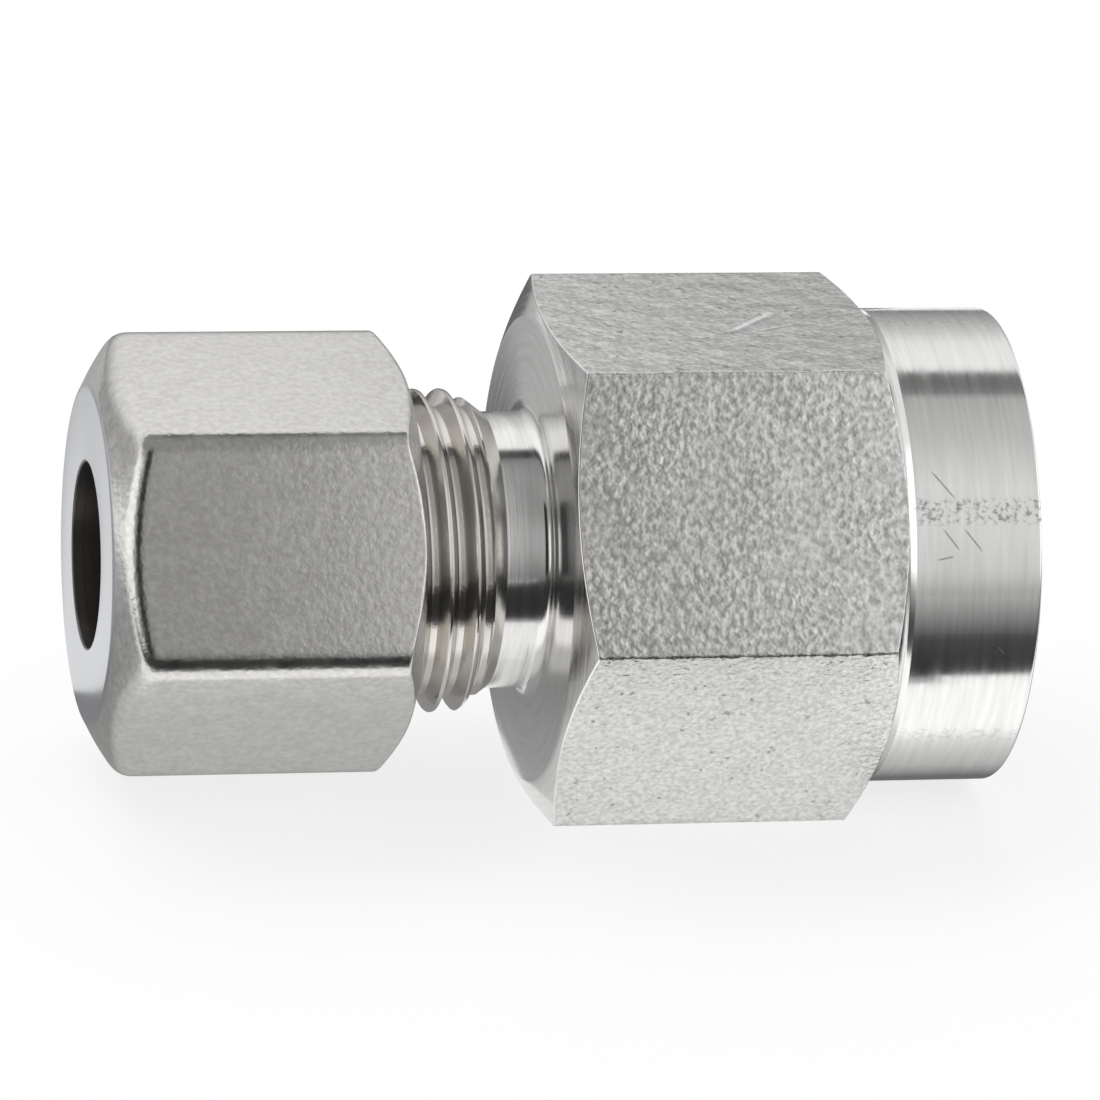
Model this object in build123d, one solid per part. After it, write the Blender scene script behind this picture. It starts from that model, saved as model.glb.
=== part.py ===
from build123d import *
import os
from math import radians, sin, sqrt, tan

# Straight compression fitting for a 10 mm tube, with a female G 1/2 port on its far end.
# Three pieces share one axis, which runs along X with the tube end at -X: a turned
# hexagonal body, a union nut on the body's M18 x 1.5 stub, and the cutting ring that
# the two trap. The origin is on the axis, at the step in the body that the tube's end
# stops against. The fitting lies on one flat of the body's hexagon, which faces -Z.
# All sizes are in millimetres and degrees.

# Tube, and the seat that takes it
tube_diameter = 10.0
socket_clearance = 0.05  # radial, tube in its socket
socket_depth = 7.5  # end of the stub to the tube stop
cone_half_angle = 12.0
cone_rise = 1.15  # radius of the cone's mouth over the tube's radius
flow_bore_diameter = 7.0

# Threaded stub
stub_length = 12.0
thread_diameter = 18.0
thread_pitch = 1.5
undercut_depth = 1.3  # below the thread's crests
undercut_length = 2.6
undercut_fillet = 0.8
runout_angle = 37.0

# Hexagon and collar of the body
body_across_flats = 27.0
hex_length = 18.7
hex_face_step = 0.5  # face's edge below the flats, on the stub's side
hex_face_angle = 21.0  # chamfer on the stub's side, from the face
hex_back_angle = 25.0  # chamfer on the collar's side, from the face
collar_step = 0.2  # collar below the flats
collar_length = 7.5
collar_chamfer = 0.3

# Female port
port_diameter = 18.631
port_depth = 19.0
port_mouth_chamfer = 1.5

# Union nut
nut_wall = 1.8  # over the stub's thread, at the middle of a flat
nut_length = 17.1
nut_corner_radius = 1.8
nut_face_step = 1.55  # face's edge below the flats, on the tube's side
nut_face_angle = 28.0  # chamfer on the tube's side, from the face
nut_edge_chamfer = 0.6  # breaks the edge between that chamfer and the flats
nut_rim_step = 0.2  # rim's edge below the flats, on the body's side
nut_rim_angle = 32.0
nut_bore_clearance = 0.15  # radial, tube in the nut
nut_bore_length = 4.4
nut_cone_half_angle = 45.0
nut_mouth_chamfer = 0.5
nut_turn = 8.0  # how far the nut's flats are turned from the body's
thread_clearance = 0.05  # radial, nut on the stub

# Cutting ring
ring_length = 9.5
ring_bore_clearance = 0.07  # radial, tube in the ring
ring_front_wall = 0.6
ring_taper_angle = 9.0
ring_taper_length = 3.6
ring_waist_length = 1.3
ring_waist_wall = 0.95
ring_collar_wall = 1.8
ring_rear_wall = 0.95
ring_groove_depth = 0.25
ring_groove_length = 1.1
ring_edge_length = 0.4
ring_edge_count = 2
seat_clearance = 0.1  # ring off the body's cone and off the nut's cone

overlap = 1.0  # how far the turned ends of the body reach into its hexagon
blank_margin = 1.0  # how far a turned blank reaches past a hexagon's corners

# How the nut's front edge is told from its other edges
front_share = 0.25  # part of the nut's length that holds the edge
same_place = 0.01  # how near two places along the axis count as one
lengthwise = 0.9  # an edge whose direction has more of X than this runs along the nut

# Radii that several pieces share
tube_radius = tube_diameter / 2
thread_radius = thread_diameter / 2
thread_depth = 0.65 * thread_pitch
socket_radius = tube_radius + socket_clearance
cone_mouth_radius = tube_radius + cone_rise
cone_slope = tan(radians(cone_half_angle))
nut_bore_radius = tube_radius + nut_bore_clearance

# Places along the axis, from the tube stop
stub_end = -socket_depth
hex_face = stub_end + stub_length
hex_back = hex_face + hex_length
body_end = hex_back + collar_length
port_floor = body_end - port_depth

# The ring's nose stops in the body's cone, and the nut's cone stops on the ring's back
ring_front_radius = tube_radius + ring_front_wall
ring_rear_radius = tube_radius + ring_rear_wall
ring_front = stub_end + (cone_mouth_radius - seat_clearance - ring_front_radius) / cone_slope
ring_back = ring_front - ring_length
nut_cone_slope = tan(radians(nut_cone_half_angle))
nut_cone_gap = seat_clearance / sin(radians(nut_cone_half_angle))
nut_cone_start = ring_back - nut_cone_gap - (ring_rear_radius - nut_bore_radius) / nut_cone_slope
nut_start = nut_cone_start - nut_bore_length
nut_end = nut_start + nut_length


def turned(*outline):
    """Solid of revolution about X, from points given as place along the axis and radius."""
    return revolve(make_face(Polyline(*outline, close=True)), Axis.X)


def hexagonal_bar(across_flats, start, end, corner_radius=0.0, turn=0.0):
    """Hexagonal bar along X, with flats that face -Z and +Z when it isn't turned."""
    section = RegularPolygon(radius=across_flats / sqrt(3), side_count=6)
    if corner_radius:
        section = fillet(section.vertices(), corner_radius)
    return extrude(Plane.YZ.offset(start) * Rot(0, 0, turn) * section, end - start)


def end_chamfers(across_flats, start, start_radius, start_angle, end, end_radius, end_angle):
    """Turned blank that brings each end of a hexagonal bar down to a circle."""
    reach = across_flats / sqrt(3) + blank_margin
    start_rise = (reach - start_radius) * tan(radians(start_angle))
    end_rise = (reach - end_radius) * tan(radians(end_angle))
    return turned(
        (start, 0),
        (start, start_radius),
        (start + start_rise, reach),
        (end - end_rise, reach),
        (end, end_radius),
        (end, 0),
    )


def make_stub():
    """Threaded stub, plain at the crests, with its lead chamfer, run-out and undercut."""
    undercut_radius = thread_radius - undercut_depth
    runout_end = hex_face - undercut_length
    runout_start = runout_end - undercut_depth / tan(radians(runout_angle))
    outside = Polyline(
        (stub_end, 0),
        (stub_end, thread_radius - thread_depth),
        (stub_end + thread_depth, thread_radius),
        (runout_start, thread_radius),
        (runout_end, undercut_radius),
        (hex_face - undercut_fillet, undercut_radius),
    )
    root = RadiusArc(outside @ 1, (hex_face, undercut_radius + undercut_fillet), -undercut_fillet)
    inside = Polyline(root @ 1, (hex_face + overlap, (root @ 1).Y), (hex_face + overlap, 0), (stub_end, 0))
    return revolve(make_face([outside, root, inside]), Axis.X)


def make_body():
    """One-piece body: stub, hexagon and collar, bored right through."""
    flat_radius = body_across_flats / 2
    collar_radius = flat_radius - collar_step
    bar = hexagonal_bar(body_across_flats, hex_face, hex_back)
    hexagon = bar & end_chamfers(
        body_across_flats,
        hex_face,
        flat_radius - hex_face_step,
        hex_face_angle,
        hex_back,
        collar_radius,
        hex_back_angle,
    )
    collar = turned(
        (hex_back - overlap, 0),
        (hex_back - overlap, collar_radius),
        (body_end - collar_chamfer, collar_radius),
        (body_end, collar_radius - collar_chamfer),
        (body_end, 0),
    )
    port_radius = port_diameter / 2
    bores = turned(
        (stub_end, 0),
        (stub_end, cone_mouth_radius),
        (stub_end + (cone_mouth_radius - socket_radius) / cone_slope, socket_radius),
        (0, socket_radius),
        (0, flow_bore_diameter / 2),
        (port_floor, flow_bore_diameter / 2),
        (port_floor, port_radius),
        (body_end - port_mouth_chamfer, port_radius),
        (body_end, port_radius + port_mouth_chamfer),
        (body_end, 0),
    )
    return hexagon + make_stub() + collar - bores


def make_ring():
    """Cutting ring: tapered nose over two cutting edges, waist, and a collar with a 45 degree back."""
    bore_radius = tube_radius + ring_bore_clearance
    taper_radius = ring_front_radius + ring_taper_length * tan(radians(ring_taper_angle))
    waist_radius = tube_radius + ring_waist_wall
    collar_radius = tube_radius + ring_collar_wall
    waist_end = ring_taper_length + ring_waist_length
    outline = [
        (0, bore_radius),
        (0, ring_front_radius),
        (ring_taper_length, taper_radius),
        (ring_taper_length + taper_radius - waist_radius, waist_radius),
        (waist_end, waist_radius),
        (waist_end + collar_radius - waist_radius, collar_radius),
        (ring_length - (collar_radius - ring_rear_radius) * nut_cone_slope, collar_radius),
        (ring_length, ring_rear_radius),
        (ring_length, bore_radius),
    ]
    for edge in reversed(range(ring_edge_count)):
        groove_start = ring_edge_length + edge * (ring_edge_length + ring_groove_length)
        groove_end = groove_start + ring_groove_length
        outline += [
            (groove_end, bore_radius),
            (groove_end, bore_radius + ring_groove_depth),
            (groove_start + ring_groove_depth, bore_radius + ring_groove_depth),
            (groove_start, bore_radius),
        ]
    return turned(*[(ring_front - back, radius) for back, radius in outline])


def break_nut_edge(blank):
    """Breaks the edge that runs round the nut where its front chamfer meets the flats."""
    front = blank.edges().filter_by(lambda edge: edge.center().X < nut_start + front_share * nut_length)
    front = front.filter_by(lambda edge: edge.center().X > nut_start + same_place)
    across = front.filter_by(lambda edge: abs((edge % 0.5).X) < lengthwise)
    return chamfer(across, nut_edge_chamfer)


def make_nut():
    """Union nut: rounded hexagon, tube bore, cone for the ring's back, and the threaded cavity."""
    cavity_radius = thread_radius + thread_clearance
    flat_radius = cavity_radius + nut_wall
    bar = hexagonal_bar(2 * flat_radius, nut_start, nut_end, nut_corner_radius, nut_turn)
    blank = bar & end_chamfers(
        2 * flat_radius,
        nut_start,
        flat_radius - nut_face_step,
        nut_face_angle,
        nut_end,
        flat_radius - nut_rim_step,
        nut_rim_angle,
    )
    cone_end_radius = thread_radius - thread_depth
    cone_end = nut_cone_start + (cone_end_radius - nut_bore_radius) / nut_cone_slope
    cavity = turned(
        (nut_start, 0),
        (nut_start, nut_bore_radius),
        (nut_cone_start, nut_bore_radius),
        (cone_end, cone_end_radius),
        (cone_end, cavity_radius),
        (nut_end - nut_mouth_chamfer, cavity_radius),
        (nut_end, cavity_radius + nut_mouth_chamfer),
        (nut_end, 0),
    )
    return break_nut_edge(blank) - cavity


os.makedirs("parts", exist_ok=True)
export_step(make_body(), "parts/fitting_body.step")
export_step(make_ring(), "parts/cutting_ring.step")
export_step(make_nut(), "parts/union_nut.step")
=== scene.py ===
# %% [markdown]
# A compression fitting for a 10 mm tube, dressed as polished and satin steel.
#
# The imported model already holds the three real pieces at their real size: the fitting's
# body, the union nut and the cutting ring. Here each of them gets a finer skin, with
# real threads, small edge radii and the surface marks that machining leaves.
# The first step loads the model and notes the box of each piece, because the sizes of
# what is made later are taken from those boxes.

# %% Load the imported model
from collections import namedtuple
from math import atan2, cos, pi, radians, sin, sqrt, tan

import bmesh
import bpy
import numpy as np
from mathutils import Matrix, Vector


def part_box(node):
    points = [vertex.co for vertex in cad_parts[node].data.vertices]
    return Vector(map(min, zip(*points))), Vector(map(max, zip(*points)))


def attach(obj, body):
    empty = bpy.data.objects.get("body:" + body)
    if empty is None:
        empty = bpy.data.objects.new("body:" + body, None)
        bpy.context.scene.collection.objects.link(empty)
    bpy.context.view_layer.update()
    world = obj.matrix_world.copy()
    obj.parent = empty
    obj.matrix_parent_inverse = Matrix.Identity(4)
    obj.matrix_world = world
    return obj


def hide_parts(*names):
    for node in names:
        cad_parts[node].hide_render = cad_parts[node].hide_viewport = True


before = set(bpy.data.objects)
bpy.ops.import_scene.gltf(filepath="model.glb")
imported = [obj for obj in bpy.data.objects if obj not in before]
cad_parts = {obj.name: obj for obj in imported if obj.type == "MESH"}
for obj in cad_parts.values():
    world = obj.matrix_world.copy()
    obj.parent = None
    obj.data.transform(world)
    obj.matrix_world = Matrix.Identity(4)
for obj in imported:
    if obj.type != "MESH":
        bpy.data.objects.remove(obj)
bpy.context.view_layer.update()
mm = 0.001
body_low, body_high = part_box("fitting_body")
nut_low, nut_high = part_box("union_nut")
ring_low, ring_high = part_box("cutting_ring")
stub_length = 12.0 * mm
hexagon_length = 18.7 * mm
stub_end, body_end = body_low[0], body_high[0]
hex_face = stub_end + stub_length
hex_back = hex_face + hexagon_length

# %% [markdown]
# The camera comes first, so that every later step can be judged through it.
#
# A photographer uses a long lens for a small part like this, because it keeps parallel
# edges nearly parallel. The lens, the distance and the angles below are the ones that
# put the outline of the model on the outline in the photograph. The fitting's tube end
# is turned a little towards the camera, which looks down on it from the front.

# %% Camera
photo_width = 1100
focal_length_in_pixels = 7852
sensor_width = 36.0
camera_distance = 438.7 * mm
turn_to_camera = radians(12.2)
look_down = radians(22.56)
camera_roll = radians(0.77)
aim_point = Vector((9.01 * mm, 0, 0))
aim_right_of_centre = 3.012 * mm
aim_above_centre = 0.113 * mm

towards_front = Vector((0, -cos(look_down), sin(look_down)))
across_top = Vector((0, sin(look_down), cos(look_down)))
along_axis = Vector((1, 0, 0))
level_right = cos(turn_to_camera) * along_axis + sin(turn_to_camera) * towards_front
camera_back = -sin(turn_to_camera) * along_axis + cos(turn_to_camera) * towards_front
camera_right = cos(camera_roll) * level_right - sin(camera_roll) * across_top
camera_up = sin(camera_roll) * level_right + cos(camera_roll) * across_top

camera_data = bpy.data.cameras.new("camera")
camera_data.sensor_width = sensor_width
camera_data.lens = sensor_width * focal_length_in_pixels / photo_width
camera_data.clip_start, camera_data.clip_end = 0.01, 20.0
camera = bpy.data.objects.new("camera", camera_data)
camera_place = aim_point - aim_right_of_centre * camera_right - aim_above_centre * camera_up
camera_place += camera_distance * camera_back
camera.matrix_world = Matrix.Translation(camera_place) @ Matrix(
    (camera_right, camera_up, camera_back)
).transposed().to_4x4()
bpy.context.scene.collection.objects.link(camera)
bpy.context.scene.camera = camera
bpy.context.scene.view_settings.view_transform = "Standard"
print("lens", round(camera_data.lens, 1), "mm, camera at", [round(v, 3) for v in camera_place])

# %% [markdown]
# Every finish and every thread below is a small network of nodes. A few helpers keep
# those networks readable: one adds a node with its inputs fed, and the others add a
# single sum. What feeds an input is either a plain value or another node's output.


# %% Node helpers
def feed(tree, socket, value):
    """Links a socket to another node's output, or sets it to a plain value."""
    if isinstance(value, bpy.types.NodeSocket):
        tree.links.new(value, socket)
    else:
        socket.default_value = value


def add_node(tree, kind, settings=None, **inputs):
    node = tree.nodes.new(kind)
    for name, value in (settings or {}).items():
        setattr(node, name, value)
    for name, value in inputs.items():
        feed(tree, node.inputs[name.replace("_", " ")], value)
    return node


def calc(tree, operation, *values):
    node = tree.nodes.new("ShaderNodeMath")
    node.operation = operation
    for socket, value in zip(node.inputs, values):
        feed(tree, socket, value)
    return node.outputs[0]


def plus(tree, first, second):
    return calc(tree, "ADD", first, second)


def minus(tree, first, second):
    return calc(tree, "SUBTRACT", first, second)


def times(tree, first, second):
    return calc(tree, "MULTIPLY", first, second)


print("node helpers ready")

# %% [markdown]
# The steel's looks come from how it was made. All finishes are metallic, so their colour
# is mostly what they reflect, and what tells them apart is roughness, the height of the
# marks and the small change of colour in them. The body's flats are the drawn skin of the
# hexagonal bar, rolled and pickled, with a grain like orange peel. Its ends, its neck and
# its collar are turned, so they carry fine grooves that run round the axis. The nut was
# tumbled to a soft satin. The bores are dull, and their dark colour is painted shade.
#
# All patterns read Object coordinates in metres, so a scale of 3000 gives marks of a
# third of a millimetre, and they stay in place when a piece moves.


# %% Finish helpers
def new_finish(name, color, roughness):
    material = bpy.data.materials.new(name)
    material.use_nodes = True
    tree = material.node_tree
    shader = tree.nodes["Principled BSDF"]
    shader.inputs["Metallic"].default_value = 1.0
    shader.inputs["Base Color"].default_value = (*color, 1.0)
    shader.inputs["Roughness"].default_value = roughness
    place = tree.nodes.new("ShaderNodeTexCoord").outputs["Object"]
    return material, tree, shader, place


def noise(tree, place, scale, detail=2.0, roughness=0.5):
    looks = {"Scale": scale, "Detail": detail, "Roughness": roughness}
    return add_node(tree, "ShaderNodeTexNoise", Vector=place, **looks).outputs["Fac"]


def spread(tree, value, low, high, new_low, new_high):
    """Takes a value from one range to another, and holds it at the ends."""
    ranges = {"From_Min": low, "From_Max": high, "To_Min": new_low, "To_Max": new_high}
    node = add_node(tree, "ShaderNodeMapRange", {"clamp": True}, Value=value, **ranges)
    return node.outputs["Result"]


# The Mix node has its sockets for numbers and vectors first, and its colours after them
first_color, second_color, mixed_color = 6, 7, 2


def blend_colors(tree, factor, first, second):
    """The first colour where the factor is 0, and the second where it is 1."""
    node = add_node(tree, "ShaderNodeMix", {"data_type": "RGBA"}, Factor=factor)
    for index, color in ((first_color, first), (second_color, second)):
        feed(tree, node.inputs[index], (*color, 1.0) if isinstance(color, tuple) else color)
    return node.outputs[mixed_color]


def set_height(tree, shader, height, strength, distance):
    bump = add_node(tree, "ShaderNodeBump", Strength=strength, Distance=distance, Height=height)
    tree.links.new(bump.outputs["Normal"], shader.inputs["Normal"])


def round_the_axis(tree, place):
    """How far a point is from the axis, and that plus its place along the axis."""
    parts = add_node(tree, "ShaderNodeSeparateXYZ", Vector=place)
    y, z = parts.outputs["Y"], parts.outputs["Z"]
    squares = plus(tree, times(tree, y, y), times(tree, z, z))
    radius = calc(tree, "SQRT", squares)
    return parts, radius, plus(tree, parts.outputs["X"], radius)


def groove_height(tree, path, scale):
    """Grooves that run round the axis: noise that changes along the outline only."""
    vector = add_node(tree, "ShaderNodeCombineXYZ", X=path)
    return noise(tree, vector.outputs["Vector"], scale, 3.0, 0.6)


print("finish helpers ready")

# %% [markdown]
# The marks need to know where they are. The angle round the axis tells the flats apart
# and gives the place across the collar, so that a scratch or a strip of leftover skin
# can be put where the photograph shows it.

# %% Mark helpers
front_flat = radians(30)
flat_spacing = 60.0
flat_reach = 29.0
edge_blur = 2.0


def around(tree, parts):
    """Degrees round the axis, from the middle of the flat that faces the front."""
    y, z = parts.outputs["Y"], parts.outputs["Z"]
    front_y, front_z = -cos(front_flat), sin(front_flat)
    along = plus(tree, times(tree, y, front_y), times(tree, z, front_z))
    over = minus(tree, times(tree, z, -front_y), times(tree, y, -front_z))
    return calc(tree, "DEGREES", calc(tree, "ARCTAN2", over, along))


def band(tree, value, low, high, blur):
    """1 between two values, fading to 0 over the blur on each side."""
    rise = spread(tree, value, low - blur, low, 0.0, 1.0)
    fall = spread(tree, value, high, high + blur, 1.0, 0.0)
    return times(tree, rise, fall)


def scratch(tree, along, across, start, end, width):
    """1 on a straight scratch between two points, given on the surface in millimetres."""
    length = sqrt((end[0] - start[0]) ** 2 + (end[1] - start[1]) ** 2)
    heading = ((end[0] - start[0]) / length, (end[1] - start[1]) / length)
    off_along = minus(tree, calc(tree, "DIVIDE", along, mm), (start[0] + end[0]) / 2)
    off_across = minus(tree, calc(tree, "DIVIDE", across, mm), (start[1] + end[1]) / 2)
    run = plus(tree, times(tree, off_along, heading[0]), times(tree, off_across, heading[1]))
    side = minus(tree, times(tree, off_across, heading[0]), times(tree, off_along, heading[1]))
    fade_start, fade_end = 0.3 * length, 0.5 * length
    narrow = spread(tree, calc(tree, "ABSOLUTE", side), 0.0, width, 1.0, 0.0)
    inside = spread(tree, calc(tree, "ABSOLUTE", run), fade_start, fade_end, 1.0, 0.0)
    return times(tree, narrow, inside)


def add_up(tree, values):
    total = values[0]
    for value in values[1:]:
        total = plus(tree, total, value)
    return total


def full_range(tree, value):
    """Stretches noise, which keeps near the middle, over the whole way from 0 to 1."""
    return spread(tree, value, 0.3, 0.7, 0.0, 1.0)


print("mark helpers ready")

# %% [markdown]
# The body is cut from hexagonal bar, and its flats are the bar's own skin. The front flat
# has a coarse grain of light and dark specks, the top one has soft ripples from the
# rolls, and the others have a fine grain with a few pits. One finish holds all three,
# because the angle round the axis tells the flats apart. Grain and marks are added up
# into one height, and they change the colour a little too.


# %% Drawn flats
def make_bar_skin():
    """Drawn flats of the body: a coarse grain in front, a finer one elsewhere, and a few pits."""
    material, tree, shader, place = new_finish("drawn_flats", (0.62, 0.615, 0.6), 0.34)
    parts = add_node(tree, "ShaderNodeSeparateXYZ", Vector=place)
    x, y = parts.outputs["X"], parts.outputs["Y"]
    turn = around(tree, parts)
    on_front = band(tree, turn, -flat_reach, flat_reach, edge_blur)
    on_top = band(tree, turn, flat_spacing - flat_reach, flat_spacing + flat_reach, edge_blur)
    on_others = minus(tree, 1.0, calc(tree, "MAXIMUM", on_front, on_top))

    # Heights, in twentieths of a millimetre
    rolled_height = 3.8
    fine_height = 2.6
    pit_depth = 0.5
    nick_depth = 2.5
    coarse = noise(tree, place, 2600.0, 1.5, 0.45)
    rolled = noise(tree, place, 720.0, 3.0, 0.5)
    fine = noise(tree, place, 2600.0, 2.0, 0.5)
    patches = spread(tree, noise(tree, place, 190.0, 1.0), 0.35, 0.65, 0.9, 2.1)
    deep = times(tree, times(tree, coarse, patches), on_front)
    soft = times(tree, times(tree, rolled, rolled_height), on_top)
    faint = times(tree, times(tree, fine, fine_height), on_others)
    pits = spread(tree, noise(tree, place, 1900.0, 1.0, 0.6), 0.24, 0.31, 1.0, 0.0)
    pits = times(tree, pits, minus(tree, 1.0, on_front))
    nick = scratch(tree, x, y, (14.6, -2.0), (17.9, 1.2), 0.34)
    tail = scratch(tree, x, y, (16.4, -1.6), (18.6, -0.6), 0.16)
    nicks = times(tree, plus(tree, nick, tail), on_top)
    height = add_up(tree, [deep, soft, faint])
    height = minus(tree, height, times(tree, pits, pit_depth))
    height = minus(tree, height, times(tree, nicks, nick_depth))
    set_height(tree, shader, height, 1.0, 0.05 * mm)

    # Colours: dark and light grains, wider apart on the front flat
    grain = full_range(tree, noise(tree, place, 3600.0, 1.0))
    color = blend_colors(tree, grain, (0.52, 0.515, 0.5), (0.72, 0.715, 0.7))
    front_grain = full_range(tree, coarse)
    front_color = blend_colors(tree, front_grain, (0.455, 0.45, 0.435), (0.8, 0.795, 0.78))
    color = blend_colors(tree, on_front, color, front_color)
    color = blend_colors(tree, pits, color, (0.36, 0.355, 0.34))
    color = blend_colors(tree, calc(tree, "MINIMUM", nicks, 1.0), color, (0.85, 0.85, 0.85))
    tree.links.new(color, shader.inputs["Base Color"])
    mottle = noise(tree, place, 700.0, 2.0)
    tree.links.new(spread(tree, mottle, 0.3, 0.7, 0.29, 0.37), shader.inputs["Roughness"])
    return material


finishes = [make_bar_skin()]
print("finish", finishes[-1].name)

# %% [markdown]
# The collar is turned from the same bar, to just under the size of its flats. So it is
# bright and streaked round the axis, but in the middle of each flat the tool barely
# touched the bar, and a strip of the old skin is left. The few hairline scratches are
# laid out in millimetres on its surface. The streaks are noise whose place round the
# axis is shrunk, which draws every grain out into a line.

# %% Turned collar
# Scratches on the collar: start and end, by millimetres along the axis and round it
collar_scratches = [
    ((24.5, 2.4), (25.9, 0.6)),
    ((25.0, -0.9), (26.0, -2.2)),
    ((26.2, -0.9), (27.3, -2.3)),
    ((24.7, -2.7), (25.7, -2.5)),
    ((28.3, -7.6), (28.9, -8.3)),
]
collar_scratch_width = 0.07


def make_turned_bright():
    """Turned collar: bright, with fine grooves, scratches and traces of the bar's skin."""
    material, tree, shader, place = new_finish("turned_bright", (0.74, 0.735, 0.725), 0.14)
    parts, radius, path = round_the_axis(tree, place)
    x = parts.outputs["X"]
    turn = around(tree, parts)
    across = times(tree, calc(tree, "RADIANS", turn), body_high[2])
    grooves = groove_height(tree, path, 5200.0)
    wide_grooves = groove_height(tree, path, 1500.0)

    # The middle of each flat was barely touched by the tool, so some of the bar's skin is left
    off_flat = calc(tree, "PINGPONG", plus(tree, turn, 360.0), flat_spacing / 2)
    on_collar = spread(tree, radius, 12.9 * mm, 13.1 * mm, 0.0, 1.0)
    past_hexagon = spread(tree, x, hex_back, hex_back + 0.6 * mm, 0.0, 1.0)
    strip = band(tree, off_flat, -1.0, 2.1, 1.5)
    remnant = times(tree, times(tree, strip, on_collar), past_hexagon)
    specks = spread(tree, noise(tree, place, 3300.0, 2.0), 0.48, 0.68, 0.0, 1.0)
    facing = spread(tree, calc(tree, "ABSOLUTE", turn), 25.0, 35.0, 1.0, 0.3)
    specks = times(tree, times(tree, specks, remnant), facing)
    hairlines = []
    for start, end in collar_scratches:
        hairlines.append(scratch(tree, x, across, start, end, collar_scratch_width))
    scratches = times(tree, add_up(tree, hairlines), on_collar)
    marks = calc(tree, "MINIMUM", plus(tree, specks, scratches), 1.0)

    # Streaks are long round the axis and narrow along it
    streak_shrink = 0.07
    long_way = times(tree, across, streak_shrink)
    streak_place = add_node(tree, "ShaderNodeCombineXYZ", X=path, Y=long_way)
    streaks = full_range(tree, noise(tree, streak_place.outputs["Vector"], 2700.0, 2.0, 0.5))
    color = blend_colors(tree, streaks, (0.69, 0.685, 0.675), (0.79, 0.785, 0.775))
    color = blend_colors(tree, marks, color, (0.34, 0.335, 0.33))
    tree.links.new(color, shader.inputs["Base Color"])

    wide_groove_height = 1.2
    marks_roughness = 0.2
    height = plus(tree, grooves, times(tree, wide_grooves, wide_groove_height))
    set_height(tree, shader, minus(tree, height, marks), 0.3, 0.02 * mm)
    rough = spread(tree, wide_grooves, 0.3, 0.7, 0.1, 0.2)
    rough = plus(tree, rough, times(tree, marks, marks_roughness))
    tree.links.new(rough, shader.inputs["Roughness"])
    return material


finishes.append(make_turned_bright())
print("finish", finishes[-1].name)

# %% [markdown]
# The other finishes are plainer: clean cut metal for the threads, satin with a faint
# mottle for the nut, a bluish turned face for its end, and dull bores whose dark colour
# is painted shade. Each finish gets a number, by which the faces of a piece ask for it.


# %% Thread, nut and bores
def make_thread_steel():
    """Cut thread: clean bright flanks with small tears across them."""
    material, tree, shader, place = new_finish("cut_thread", (0.64, 0.62, 0.585), 0.16)
    tears = noise(tree, place, 3500.0, 3.0)
    set_height(tree, shader, tears, 0.2, 0.03 * mm)
    return material


def make_nut_satin():
    """Tumbled nut: even satin with a faint mottle."""
    material, tree, shader, place = new_finish("nut_satin", (0.6, 0.594, 0.572), 0.2)
    fine_share, cloud_share = 0.7, 0.3
    fine = noise(tree, place, 2700.0, 2.0)
    cloud = noise(tree, place, 900.0, 2.0)
    fine_part = times(tree, fine, fine_share)
    cloud_part = times(tree, cloud, cloud_share)
    mottle = spread(tree, plus(tree, fine_part, cloud_part), 0.35, 0.65, 0.0, 1.0)
    color = blend_colors(tree, mottle, (0.545, 0.537, 0.515), (0.655, 0.649, 0.63))
    tree.links.new(color, shader.inputs["Base Color"])
    tree.links.new(spread(tree, cloud, 0.3, 0.7, 0.2, 0.27), shader.inputs["Roughness"])
    set_height(tree, shader, fine, 0.7, 0.03 * mm)
    return material


def make_faced_end():
    """End face of the nut: turned flat, a little bluish."""
    material, tree, shader, place = new_finish("faced_end", (0.52, 0.533, 0.563), 0.22)
    fine = noise(tree, place, 2200.0, 3.0)
    set_height(tree, shader, fine, 0.15, 0.03 * mm)
    return material


def make_bored_dull():
    """Bores: drilled and reamed and dull, with painted shade: their colour is far darker than
    steel because little light gets in.
    """
    # Painted shade: a base colour far darker than steel stands for the shade inside the bores.
    material, tree, shader, place = new_finish("bored_dull", (0.17, 0.16, 0.15), 0.4)
    path = round_the_axis(tree, place)[2]
    set_height(tree, shader, groove_height(tree, path, 2400.0), 0.4, 0.03 * mm)
    return material


finishes += [make_thread_steel(), make_nut_satin(), make_faced_end(), make_bored_dull()]
# The last finish is the bores', whose dark colour is painted shade.
FLATS, TURNED, THREAD, SATIN, FACED, BORED = range(len(finishes))
print("finishes", [material.name for material in finishes])

# %% [markdown]
# A thread is a groove that follows a helix. Geometry Nodes suit it well, because its
# shape follows a rule: a grid is rolled round the axis, each of its rows is moved along
# by one pitch a turn, and a row's height only depends on where it falls in the pitch.
# The two ends are then cut by cones, as a turner's chamfer cuts the real thread, and
# rows that run past an end are pushed back onto it, where they fall together.
#
# The same tree makes the stub's thread, the nut's and the port's. Each end of it has a
# rule, MINIMUM where metal is cut off an outer thread and MAXIMUM where a hole is
# opened out.

# %% Thread tree
thread_inputs = {
    "Float": ["Start", "End", "Pitch", "Crest Radius", "Root Radius", "Crest Place", "First Angle"]
    + ["Start Radius", "Start Slope", "End Radius", "End Slope"],
    "Int": ["Steps Round", "Steps In Pitch"],
    "Material": ["Material"],
}
crest_half_width = 1 / 16
root_half_width = 1 / 8
weld_distance = 0.001 * mm


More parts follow.
